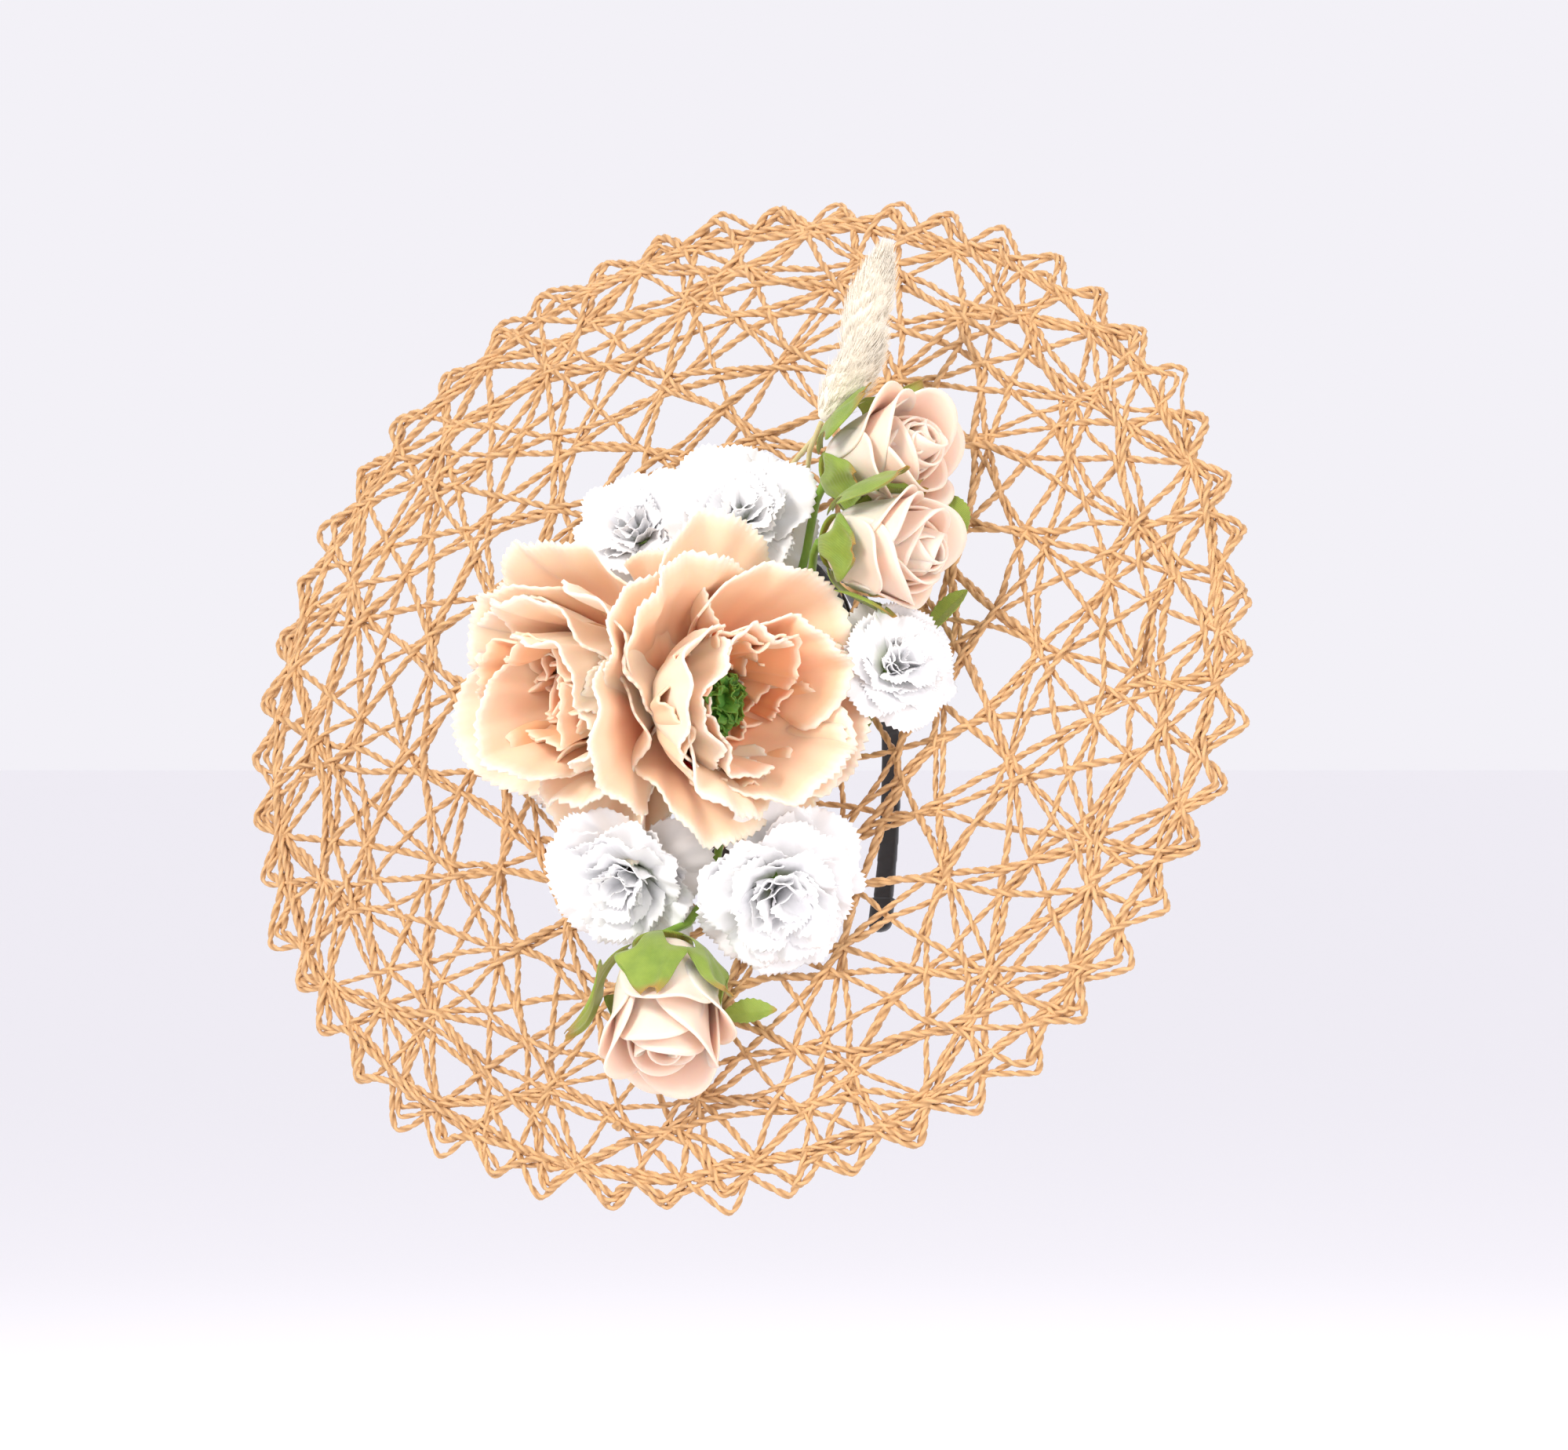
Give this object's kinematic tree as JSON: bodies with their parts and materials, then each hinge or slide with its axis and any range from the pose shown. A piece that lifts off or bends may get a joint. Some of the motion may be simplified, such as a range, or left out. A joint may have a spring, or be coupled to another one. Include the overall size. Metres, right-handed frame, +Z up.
{
  "type": "fascinator headpiece",
  "caption": "Open-work woven paper-cord disc worn on the side of the head, with foam and fabric flowers, a satin headband and a sprung hair clip.",
  "frame": {"origin": "centre of the headband's arc, the middle of the wearer's head", "axes": "+X towards the wearer's front, +Y towards the wearer's left, +Z up; the disc sits on the right side, its axis 67.6 degrees down from +Z"},
  "size_m": [0.4197, 0.2776, 0.3896],
  "materials": {
    "paper_cord": "two-ply twisted kraft paper cord, matt",
    "black_felt": "stiff black felt",
    "hot_glue": "clear hot-melt glue, set",
    "black_satin": "black satin ribbon",
    "spring_steel": "spring steel",
    "clip_steel": "nickel-plated sheet steel",
    "peach_foam": "soft foam sheet, printed peach, pale at the edges",
    "deep_peach_foam": "soft foam sheet, deeper peach",
    "blush_foam": "soft foam sheet, blush",
    "white_fabric": "thin white polyester petals with frayed edges",
    "green_heart": "crinkled green centre",
    "green_leaf": "satin-weave leaf cloth with brown tips",
    "green_stem": "moulded plastic stem",
    "bunny_tail": "dried grass head, downy",
    "straw_stem": "dried straw"
  },
  "bodies": {
    "headpiece": {"woven_disc": "paper_cord", "felt_base": "black_felt", "felt_backing": "black_felt", "glue_bed": "hot_glue", "band_core": "spring_steel", "band_ribbon": "black_satin", "band_tip_left": "black_satin", "band_tip_right": "black_satin", "band_tab": "black_felt", "clip_plate": "clip_steel", "clip_pin": "clip_steel", "clip_spring": "spring_steel", "peony_right_outer_petals": "peach_foam", "peony_right_inner_petals": "deep_peach_foam", "peony_right_heart": "green_heart", "peony_right_stem": "green_stem", "peony_left_outer_petals": "peach_foam", "peony_left_inner_petals": "deep_peach_foam", "peony_left_heart": "green_heart", "peony_left_stem": "green_stem", "carnation_upper_left_petals": "white_fabric", "carnation_upper_left_calyx": "green_stem", "carnation_upper_petals": "white_fabric", "carnation_upper_calyx": "green_stem", "carnation_right_petals": "white_fabric", "carnation_right_calyx": "green_stem", "carnation_lower_right_petals": "white_fabric", "carnation_lower_right_calyx": "green_stem", "carnation_lower_petals": "white_fabric", "carnation_lower_calyx": "green_stem", "rose_upper_petals": "blush_foam", "rose_upper_calyx": "green_leaf", "rose_upper_stem": "green_stem", "rose_middle_petals": "blush_foam", "rose_middle_calyx": "green_leaf", "rose_middle_stem": "green_stem", "rose_lower_petals": "blush_foam", "rose_lower_calyx": "green_leaf", "rose_lower_stem": "green_stem", "grass_long_head": "bunny_tail", "grass_long_stem": "straw_stem", "grass_short_head": "bunny_tail", "grass_short_stem": "straw_stem", "leaf_upper": "green_leaf", "leaf_middle": "green_leaf", "leaf_right": "green_leaf", "leaf_lower": "green_leaf"},
    "jaw": {"clip_jaw": "clip_steel"}
  },
  "joints": [
    {"name": "clip_jaw_hinge", "type": "hinge", "parent": "headpiece", "child": "jaw", "pos_m": [0.027, -0.07182, 0.02203], "axis": [-1, 0, 0], "range_deg": [0, 28], "stiffness_Nm_per_rad": 0.12, "springref_deg": -34.38}
  ]
}
